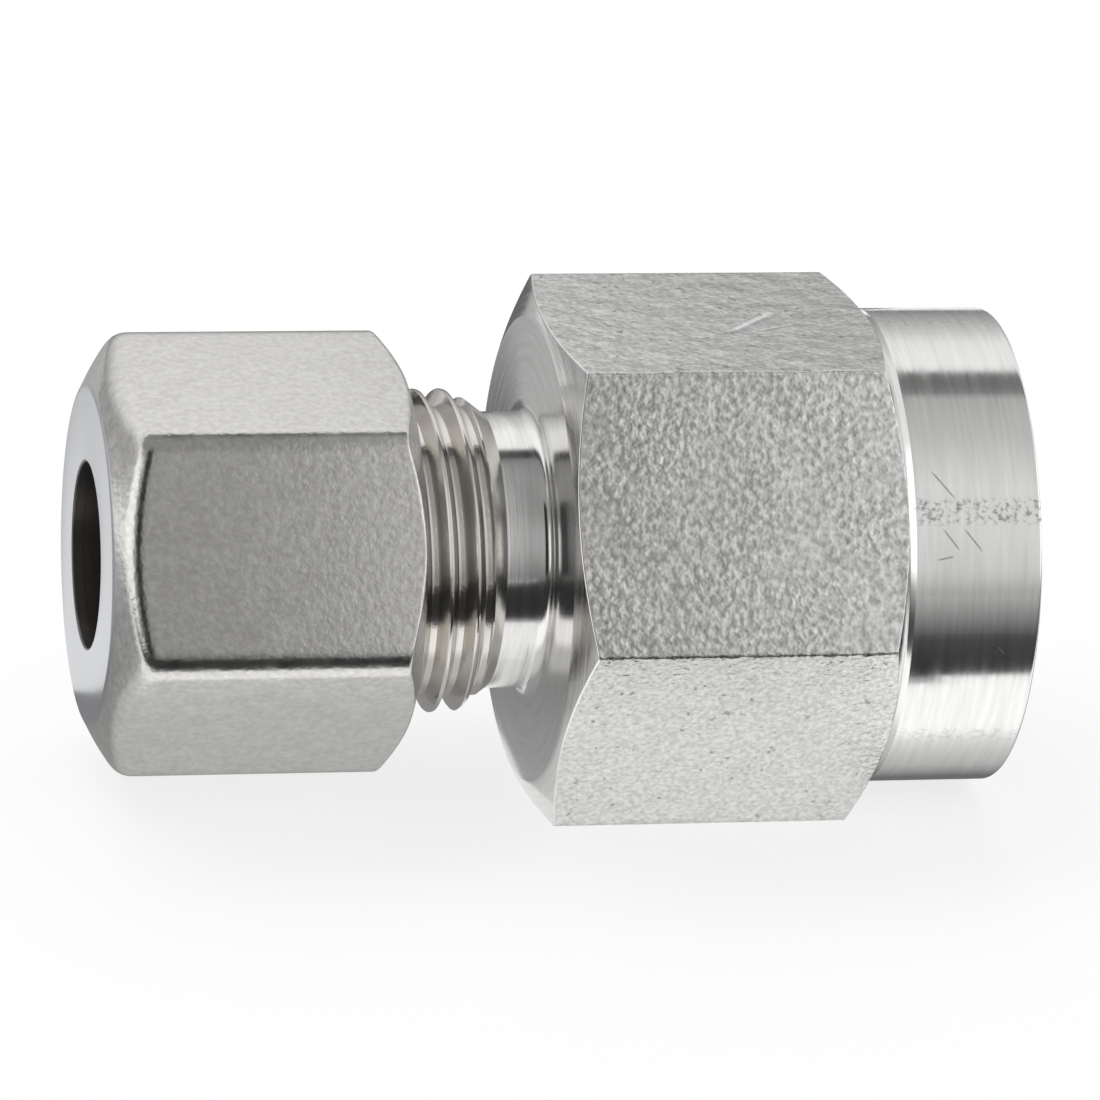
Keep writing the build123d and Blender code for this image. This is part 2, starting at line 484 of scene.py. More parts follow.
def make_thread_tree(name, start_rule, end_rule):
    tree = bpy.data.node_groups.new(name, "GeometryNodeTree")
    for kind, names in thread_inputs.items():
        for input_name in names:
            tree.interface.new_socket(input_name, in_out="INPUT", socket_type="NodeSocket" + kind)
    tree.interface.new_socket("Geometry", in_out="OUTPUT", socket_type="NodeSocketGeometry")
    size = tree.nodes.new("NodeGroupInput").outputs

    # The grid: rows along the outline, one turn across
    length = minus(tree, size["End"], size["Start"])
    pitches = plus(tree, calc(tree, "DIVIDE", length, size["Pitch"]), 1.0)
    rows = calc(tree, "CEIL", times(tree, pitches, size["Steps In Pitch"]))
    span = calc(tree, "DIVIDE", rows, size["Steps In Pitch"])
    grid = add_node(tree, "GeometryNodeMeshGrid", Size_X=span, Size_Y=1.0)
    tree.links.new(plus(tree, rows, 1.0), grid.inputs["Vertices X"])
    tree.links.new(plus(tree, size["Steps Round"], 1.0), grid.inputs["Vertices Y"])
    position = tree.nodes.new("GeometryNodeInputPosition").outputs[0]
    spot = add_node(tree, "ShaderNodeSeparateXYZ", Vector=position)
    row = plus(tree, spot.outputs["X"], times(tree, span, 0.5))
    turn = plus(tree, spot.outputs["Y"], 0.5)
    angle = plus(tree, times(tree, turn, 2 * pi), size["First Angle"])

    # Place along the axis, and place within the pitch
    first_row = minus(tree, size["Start"], size["Pitch"])
    advance = times(tree, plus(tree, row, turn), size["Pitch"])
    wanted = plus(tree, first_row, advance)
    place = calc(tree, "MAXIMUM", calc(tree, "MINIMUM", wanted, size["End"]), size["Start"])
    from_crest = calc(tree, "DIVIDE", minus(tree, wanted, size["Crest Place"]), size["Pitch"])
    phase = minus(tree, from_crest, calc(tree, "DIVIDE", angle, 2 * pi))
    off_crest = calc(tree, "PINGPONG", phase, 0.5)
    crest, root = size["Crest Radius"], size["Root Radius"]
    profile = spread(tree, off_crest, crest_half_width, 0.5 - root_half_width, crest, root)

    # The cones that cut the two ends
    from_start = minus(tree, place, size["Start"])
    to_end = minus(tree, size["End"], place)
    start_rise = times(tree, from_start, size["Start Slope"])
    end_rise = times(tree, to_end, size["End Slope"])
    start_cone = plus(tree, size["Start Radius"], start_rise)
    end_cone = plus(tree, size["End Radius"], end_rise)
    radius = calc(tree, end_rule, calc(tree, start_rule, profile, start_cone), end_cone)
    y = times(tree, radius, calc(tree, "COSINE", angle))
    z = times(tree, radius, calc(tree, "SINE", angle))
    rolled = add_node(tree, "ShaderNodeCombineXYZ", X=place, Y=y, Z=z)
    skin = grid.outputs["Mesh"]
    steps = [
        ("GeometryNodeSetPosition", {"Position": rolled.outputs[0]}),
        ("GeometryNodeMergeByDistance", {"Distance": weld_distance}),
        ("GeometryNodeRealizeInstances", {}),
        ("GeometryNodeSetMaterial", {"Material": size["Material"]}),
    ]
    for kind, values in steps:
        skin = add_node(tree, kind, Geometry=skin, **values).outputs[0]
    tree.links.new(skin, tree.nodes.new("NodeGroupOutput").inputs["Geometry"])
    return tree


def thread_skin(tree, **sizes):
    """Open tube of thread as a plain mesh."""
    carrier = bpy.data.objects.new("thread", bpy.data.meshes.new("thread"))
    bpy.context.scene.collection.objects.link(carrier)
    modifier = carrier.modifiers.new("thread", "NODES")
    modifier.node_group = tree
    for socket in tree.interface.items_tree:
        key = socket.name.lower().replace(" ", "_")
        if socket.in_out == "INPUT":
            modifier[socket.identifier] = sizes[key]
    carrier.update_tag()
    evaluated = carrier.evaluated_get(bpy.context.evaluated_depsgraph_get())
    mesh = bpy.data.meshes.new_from_object(evaluated)
    carrier.modifiers.remove(modifier)
    bpy.data.objects.remove(carrier)
    return mesh


outer_thread = make_thread_tree("outer_thread", "MINIMUM", "MINIMUM")
inner_thread = make_thread_tree("inner_thread", "MINIMUM", "MAXIMUM")
print("thread trees", outer_thread.name, inner_thread.name)

# %% [markdown]
# The rest of each piece could be spun from an outline, but a hexagon isn't round. It has
# an outline at every angle, though: only its radius and the place where its chamfer
# ends change from one angle to the next. So the first thing is a set of angles, closer
# together near the corners of the hexagon, where the surface turns, than on its flats.

# %% Angles round a hexagon
steps_round = 240


def even_angles(first_corner):
    return first_corner + np.arange(steps_round) * 2 * pi / steps_round


def hexagon_angles(first_corner, corner_half, corner_steps):
    """Angles with corner_steps of them on each side of every corner of the hexagon."""
    sector = pi / 3
    flat_steps = steps_round // 6 - 2 * corner_steps
    rise = np.linspace(0, corner_half, corner_steps, endpoint=False)
    across = np.linspace(corner_half, sector - corner_half, flat_steps, endpoint=False)
    fall = np.linspace(sector - corner_half, sector, corner_steps, endpoint=False)
    one = np.concatenate([rise, across, fall])
    return first_corner + np.concatenate([one + k * sector for k in range(6)])


def hexagon_radius(angles, first_corner, across_flats, corner_radius):
    """Distance from the axis to a hexagon with rounded corners, at each angle."""
    apothem = across_flats / 2
    off_corner = np.abs((angles - first_corner + pi / 6) % (pi / 3) - pi / 6)
    flat = apothem / np.cos(pi / 6 - off_corner)
    centre = (apothem - corner_radius) / cos(pi / 6)
    under_root = corner_radius**2 - (centre * np.sin(off_corner)) ** 2
    arc = centre * np.cos(off_corner) + np.sqrt(np.maximum(under_root, 0))
    arc_ends = pi / 6 - atan2((apothem - corner_radius) * tan(pi / 6), apothem)
    return np.where(off_corner < arc_ends, arc, flat)


print("steps round", steps_round)

# %% [markdown]
# An outline is a list of corners, and each corner holds one number or a row of numbers,
# one for each angle. No real edge is sharp, and its small radius is what catches the
# light, so each corner is replaced by a short curve, as a turning tool or a tumbling drum
# leaves it. The curve takes less than half of a side, so two neighbours never cross.

# %% Rows of an outline
Corner = namedtuple("Corner", "x r ease finish angles", defaults=(0.0, TURNED, "even"))
ease_steps = 6
nearly_half = 0.48


def eased_rows(corners, angle_sets):
    """Rows of points along an outline, with each corner that has an ease replaced by a curve."""
    points = np.zeros((len(corners), steps_round, 2))
    for i, corner in enumerate(corners):
        points[i, :, 0] = corner.x
        points[i, :, 1] = corner.r
    rows = []
    for i, corner in enumerate(corners):
        angles = angle_sets[corner.angles]
        if not corner.ease or i in (0, len(corners) - 1):
            rows.append((points[i], angles, corner.finish))
            continue
        before = points[i - 1] - points[i]
        after = points[i + 1] - points[i]
        before_length = np.linalg.norm(before, axis=1, keepdims=True)
        after_length = np.linalg.norm(after, axis=1, keepdims=True)
        before /= before_length
        after /= after_length
        half_angle = np.arccos(np.clip((before * after).sum(axis=1, keepdims=True), -1, 1)) / 2
        longest = nearly_half * np.minimum(before_length, after_length)
        reach = np.minimum(corner.ease / np.tan(half_angle), longest)
        start = points[i] + before * reach
        end = points[i] + after * reach
        for k in range(ease_steps + 1):
            w = k / ease_steps
            eased = (1 - w) ** 2 * start + 2 * w * (1 - w) * points[i] + w**2 * end
            finish = corner.finish if k == ease_steps else corners[i - 1].finish
            rows.append((eased, angles, finish))
    return rows


print("steps in an eased corner", ease_steps)

# %% [markdown]
# Neighbouring rows are joined with four-sided faces. The threads have the same number of
# steps round, so their end rows fall on the outline's and weld to them. That makes one
# closed shell of each piece, and the count of open edges that is printed has to be 0.

# %% Skins
sharp_angle = radians(28)


def add_skin(shell, rows):
    """Joins neighbouring rows with faces."""
    rings = []
    finishes_of_rows = []
    for points, angles, finish in rows:
        x, r = points[:, 0], points[:, 1]
        rings.append([shell.verts.new(p) for p in zip(x, r * np.cos(angles), r * np.sin(angles))])
        finishes_of_rows.append(finish)
    for near, far, finish in zip(rings, rings[1:], finishes_of_rows):
        for j in range(steps_round):
            k = (j + 1) % steps_round
            face = shell.faces.new((near[j], near[k], far[k], far[j]))
            face.material_index = finish


def finish_piece(name, shell, body, node):
    """Welds the skins of a piece into one closed shell and puts it in the CAD node's place."""
    bmesh.ops.remove_doubles(shell, verts=shell.verts, dist=2 * weld_distance)
    bmesh.ops.dissolve_degenerate(shell, dist=0.5 * weld_distance, edges=shell.edges)
    bmesh.ops.recalc_face_normals(shell, faces=shell.faces)
    open_edges = sum(not edge.is_manifold for edge in shell.edges)
    for face in shell.faces:
        face.smooth = True
    mesh = bpy.data.meshes.new(name)
    volume = shell.calc_volume(signed=True) / mm**3
    shell.to_mesh(mesh)
    shell.free()
    mesh.set_sharp_from_angle(angle=sharp_angle)
    piece = bpy.data.objects.new(name, mesh)
    bpy.context.scene.collection.objects.link(piece)
    for material in finishes:
        mesh.materials.append(material)
    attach(piece, body)
    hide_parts(node)
    triangles = sum(len(polygon.vertices) - 2 for polygon in mesh.polygons)
    print(name, "triangles", triangles, "open edges", open_edges, "volume mm3", round(volume))
    return piece


def add_thread(shell, tree, **sizes):
    """Adds a thread's skin to a shell, with its own finish."""
    mesh = thread_skin(tree, material=finishes[THREAD], steps_round=steps_round, **sizes)
    first_face = len(shell.faces)
    shell.from_mesh(mesh)
    shell.faces.ensure_lookup_table()
    for face in shell.faces[first_face:]:
        face.material_index = THREAD


print("skin helpers ready")

# %% [markdown]
# The stub's thread is M18 x 1.5. Its crests are at the outside diameter, its roots a
# little over 0.9 mm below, and it is right-handed. The nut's thread is the same helix
# with a little more room, so the two stay in mesh while the nut turns. Where the helix
# starts is set by the photograph: one crest stands at the upper edge of the stub, just
# beside the nut.

# %% Shared sizes
across_flats = 2 * body_high[2]
tube_radius = 5.0 * mm
stub_radius = 9.0 * mm
pitch = 1.5 * mm
thread_depth = 0.6134 * pitch
lead_depth = 0.65 * pitch
undercut_depth = 1.3 * mm
undercut_length = 2.6 * mm
lead_radius = stub_radius - lead_depth
undercut_radius = stub_radius - undercut_depth
undercut_start = hex_face - undercut_length
runout_slope = tan(radians(37))
thread_room = 0.08 * mm
top_of_picture = atan2(across_top[2], across_top[1])
crest_at_top = -0.35 * mm
crest_place = crest_at_top - pitch * top_of_picture / (2 * pi)
fine_steps_in_pitch = 20
steps_in_pitch = 12
inner_lead_slope = 0.6
fine_edge = 0.12 * mm
print("stub from", round(stub_end / mm, 2), "to", round(hex_face / mm, 2), "mm")

# %% [markdown]
# The body is one piece of bar. From the tube end its outline runs over the thread, down
# into the undercut, up the turned face of the hexagon, along the flats and over the
# collar to the port, and back inside through the flow bore, the tube's socket and the
# cone that the ring is pressed into.
#
# A chamfer on a hexagon is a cone that cuts it, and the two meet in the curved edge that
# every nut has: at each angle, the further out the hexagon reaches, the further the
# chamfer has run back along it.


# %% Body
def make_body():
    corner_zone, steps_in_corner = radians(0.75), 4
    sets = {"even": even_angles(0.0), "hex": hexagon_angles(0.0, corner_zone, steps_in_corner)}
    bar_corner_radius = 0.3 * mm
    outline = hexagon_radius(sets["hex"], 0.0, across_flats, bar_corner_radius)

    # Outside: the hexagon's two chamfers, the shoulder and the collar
    face_step = 0.5 * mm
    collar_step = 0.2 * mm
    shoulder_step = 0.02 * mm
    shoulder_length = 0.45 * mm
    face_slope = tan(radians(21))
    back_slope = tan(radians(25))
    flat_radius = across_flats / 2
    face_radius = flat_radius - face_step
    collar_radius = flat_radius - collar_step
    shoulder_radius = flat_radius - shoulder_step
    shoulder_start = hex_back - (shoulder_radius - collar_radius) * back_slope
    front_edge = hex_face + (outline - face_radius) * face_slope
    back_edge = shoulder_start - (outline - shoulder_radius) * back_slope

    # Inside: the port, the flow bore, the tube's socket and the ring's cone
    port_pitch = 25.4 / 14 * mm
    port_thread_depth = 0.64 * port_pitch
    port_radius = 18.631 / 2 * mm
    port_mouth_chamfer = 1.5 * mm
    port_depth = 19.0 * mm
    port_thread_stop = 3.5 * mm
    port_mouth = port_radius + port_mouth_chamfer
    port_floor = body_end - port_depth
    port_thread_end = port_floor + port_thread_stop
    flow_radius = 3.5 * mm
    socket_room = 0.05 * mm
    cone_rise = 1.15 * mm
    cone_slope = tan(radians(12))
    socket_radius = tube_radius + socket_room
    cone_mouth = tube_radius + cone_rise
    cone_end = stub_end + (cone_mouth - socket_radius) / cone_slope
    bore_edge = 0.1 * mm
    outside = [
        Corner(undercut_start, undercut_radius),
        Corner(hex_face, undercut_radius, 0.8 * mm),
        Corner(hex_face, face_radius, 0.45 * mm, TURNED, "hex"),
        Corner(front_edge, outline, fine_edge, FLATS, "hex"),
        Corner(back_edge, outline, fine_edge, TURNED, "hex"),
        Corner(shoulder_start, shoulder_radius, 0.2 * mm, TURNED, "hex"),
        Corner(shoulder_start + shoulder_length, collar_radius, 0.1 * mm, TURNED, "hex"),
        Corner(body_end, collar_radius, 0.22 * mm, TURNED, "hex"),
        Corner(body_end, port_mouth),
    ]
    inside = [
        Corner(port_thread_end, port_radius, 0.0, BORED),
        Corner(port_floor, port_radius, 0.3 * mm, BORED),
        Corner(port_floor, flow_radius, 0.2 * mm, BORED),
        Corner(0.0, flow_radius, bore_edge, BORED),
        Corner(0.0, socket_radius, bore_edge, BORED),
        Corner(cone_end, socket_radius, 0.2 * mm),
        Corner(stub_end, cone_mouth, bore_edge),
        Corner(stub_end, lead_radius),
    ]
    shell = bmesh.new()
    add_skin(shell, eased_rows(outside, sets))
    add_skin(shell, eased_rows(inside, sets))
    add_thread(
        shell,
        outer_thread,
        start=stub_end,
        end=undercut_start,
        pitch=pitch,
        crest_radius=stub_radius,
        root_radius=stub_radius - thread_depth,
        crest_place=crest_place,
        start_radius=lead_radius,
        start_slope=1.0,
        end_radius=undercut_radius,
        end_slope=runout_slope,
        first_angle=0.0,
        steps_in_pitch=fine_steps_in_pitch,
    )
    add_thread(
        shell,
        inner_thread,
        start=port_thread_end,
        end=body_end,
        pitch=port_pitch,
        crest_radius=port_radius + port_thread_depth,
        root_radius=port_radius,
        crest_place=0.0,
        start_radius=port_radius,
        start_slope=inner_lead_slope,
        end_radius=port_mouth,
        end_slope=-1.0,
        first_angle=0.0,
        steps_in_pitch=steps_in_pitch,
    )
    return finish_piece("body_skin", shell, "body", "fitting_body")


make_body()

# %% [markdown]
# The union nut is a shorter hexagon, forged and tumbled, so its corners have a generous
# radius and its front edge is soft. Inside it has the tube's bore, the 45 degree cone
# that pushes the ring, and the thread. Its flats stand eight degrees off the body's,
# because a nut stops where its thread stops it.


# %% Union nut
def make_nut():
    nut_start, nut_end = nut_low[0], nut_high[0]
    first_corner = radians(8.0)
    nut_across_flats = 21.7 * mm
    nut_corner_radius = 1.8 * mm
    corner_zone, steps_in_corner = radians(5.2), 7
    spaced = hexagon_angles(first_corner, corner_zone, steps_in_corner)
    sets = {"even": even_angles(first_corner), "hex": spaced}
    outline = hexagon_radius(sets["hex"], first_corner, nut_across_flats, nut_corner_radius)

    # Outside: a deep chamfer at the tube's end, and a shallow one at the rim
    face_step = 1.55 * mm
    rim_step = 0.2 * mm
    face_slope = tan(radians(28))
    rim_slope = tan(radians(32))
    flat_radius = nut_across_flats / 2
    face_radius = flat_radius - face_step
    rim_radius = flat_radius - rim_step
    front_edge = nut_start + (outline - face_radius) * face_slope
    rim_edge = nut_end - (outline - rim_radius) * rim_slope

    # Inside: the tube's bore, the 45 degree cone and the thread
    bore_room = 0.15 * mm
    bore_length = 4.4 * mm
    mouth_rise = 0.55 * mm
    plain_length = 0.4 * mm
    bore_radius = tube_radius + bore_room
    minor_radius = stub_radius - thread_depth + thread_room
    mouth_radius = stub_radius + mouth_rise
    cone_start = nut_start + bore_length
    cone_end = cone_start + (minor_radius - bore_radius)
    thread_start = cone_end + plain_length
    corners = [
        Corner(thread_start, minor_radius, 0.0, BORED),
        Corner(cone_end, minor_radius, 0.2 * mm, BORED),
        Corner(cone_start, bore_radius, 0.3 * mm, BORED),
        Corner(nut_start, bore_radius, fine_edge, FACED),
        Corner(nut_start, face_radius, 0.9 * mm, SATIN, "hex"),
        Corner(front_edge, outline, 1.45 * mm, SATIN, "hex"),
        Corner(rim_edge, outline, 0.35 * mm, SATIN, "hex"),
        Corner(nut_end, rim_radius, 0.2 * mm, TURNED, "hex"),
        Corner(nut_end, mouth_radius),
    ]
    shell = bmesh.new()
    add_skin(shell, eased_rows(corners, sets))
    add_thread(
        shell,
        inner_thread,
        start=thread_start,
        end=nut_end,
        pitch=pitch,
        crest_radius=stub_radius + thread_room,
        root_radius=minor_radius,
        crest_place=crest_place,
        start_radius=minor_radius,
        start_slope=inner_lead_slope,
        end_radius=mouth_radius,
        end_slope=-1.0,
        first_angle=first_corner,
        steps_in_pitch=steps_in_pitch,
    )
    return finish_piece("nut_skin", shell, "nut", "union_nut")


make_nut()

# %% [markdown]
# The cutting ring shows only through the nut's bore, but it is what makes the joint: its
# nose slides into the body's cone, the two sharp edges inside it bite into the tube,
# and the nut pushes on its 45 degree back.


# %% Cutting ring
def make_ring():
    front, back = ring_high[0], ring_low[0]
    sets = {"even": even_angles(0.0)}
    bore = tube_radius + 0.07 * mm
    nose = tube_radius + 0.6 * mm
    waist = tube_radius + 0.95 * mm
    collar = tube_radius + 1.8 * mm
    taper_length = 3.6 * mm
    waist_length = 1.3 * mm
    groove_depth = 0.25 * mm
    groove_length = 1.1 * mm
    edge_length = 0.4 * mm
    bored_below = tube_radius + 0.4 * mm
    taper_end = front - taper_length
    taper_radius = nose + taper_length * tan(radians(9))
    waist_end = taper_end - waist_length

    # Each place has its radius and, in millimetres, how far its corner is eased
    places = [
        (front, bore, 0.03),
        (front, nose, 0.1),
        (taper_end, taper_radius, 0.1),
        (taper_end - (taper_radius - waist), waist, 0.1),
        (waist_end, waist, 0.2),
        (waist_end - (collar - waist), collar, 0.2),
        (back + (collar - waist), collar, 0.3),
        (back, waist, 0.1),
        (back, bore, 0.1),
    ]
    first_groove = front - edge_length
    for groove_start in (first_groove - groove_length - edge_length, first_groove):
        groove_end = groove_start - groove_length
        places += [
            (groove_end, bore, 0.0),
            (groove_end, bore + groove_depth, 0.05),
            (groove_start - groove_depth, bore + groove_depth, 0.05),
            (groove_start, bore, 0.0),
        ]
    places.append(places[0])
    corners = []
    for x, r, ease in places:
        # Faces near the bore take the bore finish, whose dark colour is painted shade.
        corners.append(Corner(x, r, ease * mm, BORED if r < bored_below else TURNED))
    shell = bmesh.new()
    add_skin(shell, eased_rows(corners, sets))
    return finish_piece("ring_skin", shell, "ring", "cutting_ring")


make_ring()

# %% [markdown]
# Polished metal looks like whatever stands round it, so the studio matters as much as
# the finish. The fitting lies on a white floor under a white sky. Both show as plain
# white to the camera and to reflections, and the floor keeps a soft shadow.

# %% Floor and sky
floor_size = 6.0
floor_level = body_low[2]


def add_stage_mesh(name, points, faces, material):
    """A plain mesh that belongs to the studio and not to the fitting."""
    mesh = bpy.data.meshes.new(name)
    mesh.from_pydata(points, [], faces)
    mesh.materials.append(material)
    stage_object = bpy.data.objects.new(name, mesh)
    bpy.context.scene.collection.objects.link(stage_object)
    return stage_object


def level_rectangle(x_low, x_high, y_low, y_high, z):
    return [(x_low, y_low, z), (x_high, y_low, z), (x_high, y_high, z), (x_low, y_high, z)]


def seen_directly(tree):
    """1 for what the camera, a reflection or a clear material sees, and 0 for falling light."""
    ray = tree.nodes.new("ShaderNodeLightPath").outputs
    seen = calc(tree, "MAXIMUM", ray["Is Camera Ray"], ray["Is Glossy Ray"])
    return calc(tree, "MAXIMUM", seen, ray["Is Transmission Ray"])


def new_stage_material(name):
    material = bpy.data.materials.new(name)
    material.use_nodes = True
    tree = material.node_tree
    tree.nodes.remove(tree.nodes["Principled BSDF"])
    return material, tree, tree.nodes["Material Output"].inputs["Surface"]


def make_floor_finish():
    """White paper: mostly plain white, with a share that the light falls on and shadows dim."""
    material, tree, surface = new_stage_material("floor_white")
    paper = add_node(tree, "ShaderNodeBsdfDiffuse", Color=(0.9, 0.9, 0.9, 1.0))
    white = add_node(tree, "ShaderNodeEmission", Color=(1.0, 1.0, 1.0, 1.0), Strength=0.78)
    shaded = add_node(tree, "ShaderNodeBsdfDiffuse", Color=(0.26, 0.26, 0.26, 1.0))
    both = add_node(tree, "ShaderNodeAddShader")
    tree.links.new(white.outputs[0], both.inputs[0])
    tree.links.new(shaded.outputs[0], both.inputs[1])
    mix = tree.nodes.new("ShaderNodeMixShader")
    tree.links.new(seen_directly(tree), mix.inputs["Fac"])
    tree.links.new(paper.outputs[0], mix.inputs[1])
    tree.links.new(both.outputs[0], mix.inputs[2])
    tree.links.new(mix.outputs[0], surface)
    return material


half = floor_size / 2
floor_corners = level_rectangle(-half, half, -half, half, floor_level)
add_stage_mesh("floor", floor_corners, [(0, 1, 2, 3)], make_floor_finish())

world = bpy.data.worlds.new("sky")
bpy.context.scene.world = world
world.use_nodes = True
sky = world.node_tree
background = sky.nodes["Background"]
background.inputs["Color"].default_value = (1.0, 1.0, 1.0, 1.0)
sky_light = 0.55
seen = seen_directly(sky)
sky_strength = spread(sky, seen, 0.0, 1.0, sky_light, 1.0)
sky.links.new(sky_strength, background.inputs["Strength"])
print("floor at", round(floor_level / mm, 2), "mm")

# %% [markdown]
# With white all round, the metal would have no shape. A photographer sets grey and
# black cards beside it, just outside the picture, and the steel's dark lines are those
# cards. A card gives off its own grey, which follows a list of stops in one direction.
# None of them is seen by the camera or throws a shadow.

# %% Card helpers
hood_split = 0.068
hood_blend = 0.003


def add_ramp(tree, value, stops):
    """Grey by a list of (value, grey) stops."""
    low, high = stops[0][0], stops[-1][0]
    ramp = tree.nodes.new("ShaderNodeValToRGB")
    tree.links.new(spread(tree, value, low, high, 0.0, 1.0), ramp.inputs["Fac"])
    elements = ramp.color_ramp.elements
    while len(elements) < len(stops):
        elements.new(0.5)
    for element, (place, grey) in zip(elements, stops):
        element.position = (place - low) / (high - low)
        element.color = (grey, grey, grey, 1.0)
    return ramp.outputs["Color"]


def add_card(name, points, faces, stops, find_value, brightness=1.0, left_stops=None):
    """A card that only reflections see, with greys that follow a value of its own place."""
    material, tree, surface = new_stage_material(name)
    place = tree.nodes.new("ShaderNodeTexCoord").outputs["Object"]
    value = find_value(tree, place)
    color = add_ramp(tree, value, stops)
    if left_stops:
        x = add_node(tree, "ShaderNodeSeparateXYZ", Vector=place).outputs["X"]
        to_right = spread(tree, x, hood_split - hood_blend, hood_split + hood_blend, 0.0, 1.0)
        color = blend_colors(tree, to_right, add_ramp(tree, value, left_stops), color)
    glow = add_node(tree, "ShaderNodeEmission", Color=color, Strength=brightness)
    tree.links.new(glow.outputs[0], surface)
    card = add_stage_mesh(name, points, faces, material)
    card.visible_camera = False
    card.visible_diffuse = False
    card.visible_shadow = False
    card.visible_transmission = False


print("card helpers ready")

# %% [markdown]
# A curved hood runs along the fitting from the floor in front, over the top and down to
# the floor behind. Its greys are named by the angle round the axis, from the camera's
# direction upwards: the strip near 85 degrees is the thin dark line on every round
# surface, and the one past 92 degrees is the long lamp that makes the white edge on the
# nut. The hood is darker on the left, which is what dims the nut's front. Smaller cards
# at both ends are what the turned faces and the chamfers show.

# %% Hood
hood_distance = 0.3
inner_distance = 0.95 * hood_distance
high_distance = 0.97 * hood_distance
hood_left_end = -0.43
hood_right_end = 0.25
far_left = -0.9
degrees_a_step = 3
lamp_brightness = 1.28


def degrees_round(tree, place):
    """Angle round the axis from the camera's direction, upwards."""
    front = add_node(tree, "ShaderNodeVectorMath", {"operation": "DOT_PRODUCT"})
    over = add_node(tree, "ShaderNodeVectorMath", {"operation": "DOT_PRODUCT"})
    for node, direction in ((front, towards_front), (over, across_top)):
        tree.links.new(place, node.inputs[0])
        node.inputs[1].default_value = direction
    rise = calc(tree, "ARCTAN2", over.outputs["Value"], front.outputs["Value"])
    return calc(tree, "DEGREES", rise)


def towards_back(tree, place):
    """Millimetres from the axis, towards the back."""
    y = add_node(tree, "ShaderNodeSeparateXYZ", Vector=place).outputs["Y"]
    return calc(tree, "DIVIDE", y, mm)


def add_hood(name, first, last, x_low, x_high, distance, **looks):
    """A strip bent round the fitting, between two angles and two places along the axis."""
    steps = round(abs(last - first) / degrees_a_step)
    points, faces = [], []
    for k in range(steps + 1):
        angle = radians(first + (last - first) * k / steps)
        side = distance * (cos(angle) * towards_front + sin(angle) * across_top)
        points += [(x_low, side[1], side[2]), (x_high, side[1], side[2])]
        if k:
            faces.append((2 * k - 2, 2 * k - 1, 2 * k + 1, 2 * k))
    add_card(name, points, faces, find_value=degrees_round, **looks)


hood_right = [
    (-25, 0.32), (-19, 0.5), (-13, 0.6), (4, 0.67), (27, 0.69), (40, 0.6), (52, 0.5),
    (74, 0.42), (78, 0.16), (90, 0.12), (92, 0.88), (114, 0.78), (124, 0.57), (141, 0.36),
    (150, 0.27), (160, 0.15),
]
hood_left = [
    (-25, 0.16), (-12, 0.27), (0, 0.36), (14, 0.36), (30, 0.27), (62, 0.28), (79, 0.22),
    (81, 0.03), (89, 0.03), (91, 0.94), (114, 0.9), (126, 0.72), (141, 0.5), (150, 0.35),
    (160, 0.25),
]
back_left_stops = [(118, 0.8), (140, 0.6), (160, 0.45)]
left_high_stops = [(20, 0.3), (60, 0.5)]
hood_looks = {"stops": hood_right, "left_stops": hood_left, "brightness": lamp_brightness}
card_right_looks = {"stops": [(-20, 1.0), (60, 1.0)], "brightness": 1.6}
add_hood("hood", -25, 160, hood_left_end, hood_right_end, hood_distance, **hood_looks)
add_hood("card_left", -24, 40, -0.25, -0.09, inner_distance, stops=[(-24, 0.02), (40, 0.02)])
add_hood("card_right", -20, 60, 0.26, 0.6, inner_distance, **card_right_looks)
add_hood("card_back_left", 118, 160, far_left, hood_left_end, hood_distance, stops=back_left_stops)
add_hood("card_left_high", 20, 60, far_left, hood_left_end, high_distance, stops=left_high_stops)
left_lamp = [
    (-0.45, -0.32, -0.013), (-0.45, 0.08, -0.013), (-0.45, 0.08, 0.2), (-0.45, -0.32, 0.2),
]
left_lamp_stops = [(-330, 1.0), (90, 1.0)]
add_card("lamp_left", left_lamp, [(0, 1, 2, 3)], left_lamp_stops, towards_back, brightness=1.5)
print("hood greys", len(hood_left), "left", len(hood_right), "right")

# %% [markdown]
# More cards lie on the floor: black ones and white ones in front, which make the black
# and white bands low on the collar and the neck, and grey ones behind, which the turned
# faces show. The ones near the fitting grow darker under it, a painted shadow that the
# steel reflects. Their sides lean, because a reflection goes off towards the right or the
# left the further it goes.

# %% Floor cards
card_lift = 0.05 * mm
card_level = floor_level + card_lift


def add_floor_card(name, x_low, x_high, stops, brightness=1.0, lean=0.0):
    """A card on the floor with leaning sides, and greys by millimetres towards the back."""
    near, far = stops[0][0] * mm, stops[-1][0] * mm
    low_lean, high_lean = lean if isinstance(lean, tuple) else (lean, lean)
    corners = [
        (x_low + low_lean * near, near, card_level),
        (x_high + high_lean * near, near, card_level),
        (x_high + high_lean * far, far, card_level),
        (x_low + low_lean * far, far, card_level),
    ]
    add_card(name, corners, [(0, 1, 2, 3)], stops, towards_back, brightness)
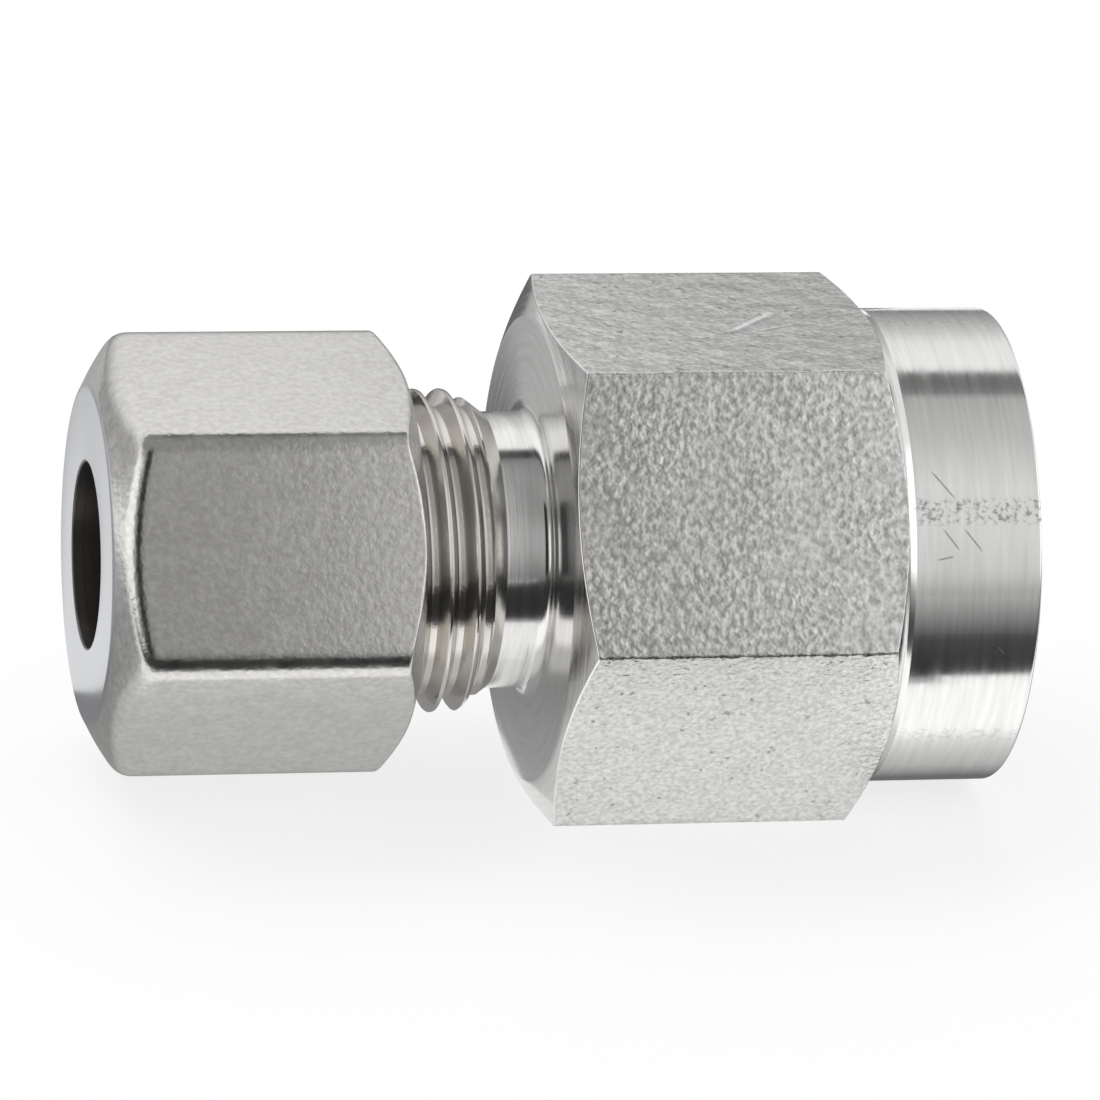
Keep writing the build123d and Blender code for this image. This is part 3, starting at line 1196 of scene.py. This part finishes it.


# Painted shadow: the greys of these three cards fall towards the back, under the fitting, as the
# shade of the floor beneath it that the steel reflects.
nut_cards = [
    (-24, 1.0), (-12.8, 1.0), (-11.4, 0.75), (-10, 0.56), (-5, 0.52), (-2, 0.3), (12, 0.2),
]
hexagon_cards = [(-24, 0.84), (-14, 0.84), (-8, 0.78)]
collar_cards = [
    (-24, 1.0), (-13, 1.0), (-11, 0.68), (-9.5, 0.56), (-7.6, 0.44), (-5, 0.13), (12, 0.12),
]
black_left = [(-300, 0.15), (-100, 0.04), (-22, 0.03)]
black_right = [(-300, 0.6), (-100, 0.4), (-60, 0.25), (-43, 0.08), (-24, 0.04)]
grey_left = [(14, 0.46), (60, 0.5), (400, 0.5)]
grey_middle = [(14, 0.3), (30, 0.14), (400, 0.14)]
add_floor_card("floor_front_left", -0.4, 0.03, black_left)
add_floor_card("floor_front_right", 0.03, 0.4, black_right)
# These three cards carry the painted shadow under the fitting.
add_floor_card("floor_near_nut", -0.4, 0.004, nut_cards, lamp_brightness)
add_floor_card("floor_near_hexagon", 0.004, 0.0235, hexagon_cards, lamp_brightness)
add_floor_card("floor_near_collar", 0.0235, 0.4, collar_cards, lamp_brightness)
add_floor_card("floor_behind_far_left", -0.15, -0.036, [(5, 0.5), (200, 0.55)])
add_floor_card("floor_far_left", -0.8, -0.15, [(-100, 1.0), (250, 1.0)], 1.5)
add_floor_card("floor_behind_right", 0.045, 0.4, [(20, 1.0), (400, 1.0)], 1.4, lean=0.23)
add_floor_card("floor_behind_left", -0.017, 0.002, grey_left, lean=(-0.2, -0.14))
add_floor_card("floor_behind", 0.002, 0.029, grey_middle, lean=(-0.14, 0.23))
print("floor cards ready")

# %% [markdown]
# One wide lamp above and behind the fitting, to the left, throws its soft shadow on the
# floor. Reflections don't show it, because the cards already set every highlight.

# %% Lamp
lamp_data = bpy.data.lights.new("lamp_over", "AREA")
lamp_data.shape = "RECTANGLE"
lamp_data.size, lamp_data.size_y = 1.2, 0.4
lamp_data.energy = 2.8
lamp = bpy.data.objects.new("lamp_over", lamp_data)
lamp_place = Vector((-0.2, 0.25, 0.7))
lamp_turn = (-lamp_place).to_track_quat("-Z", "Y").to_matrix().to_4x4()
lamp.matrix_world = Matrix.Translation(lamp_place) @ lamp_turn
lamp.visible_glossy = False
bpy.context.scene.collection.objects.link(lamp)
print("lamp ready")

# %% [markdown]
# The last step only prints that the scene is ready.

# %% Done
print("scene ready")
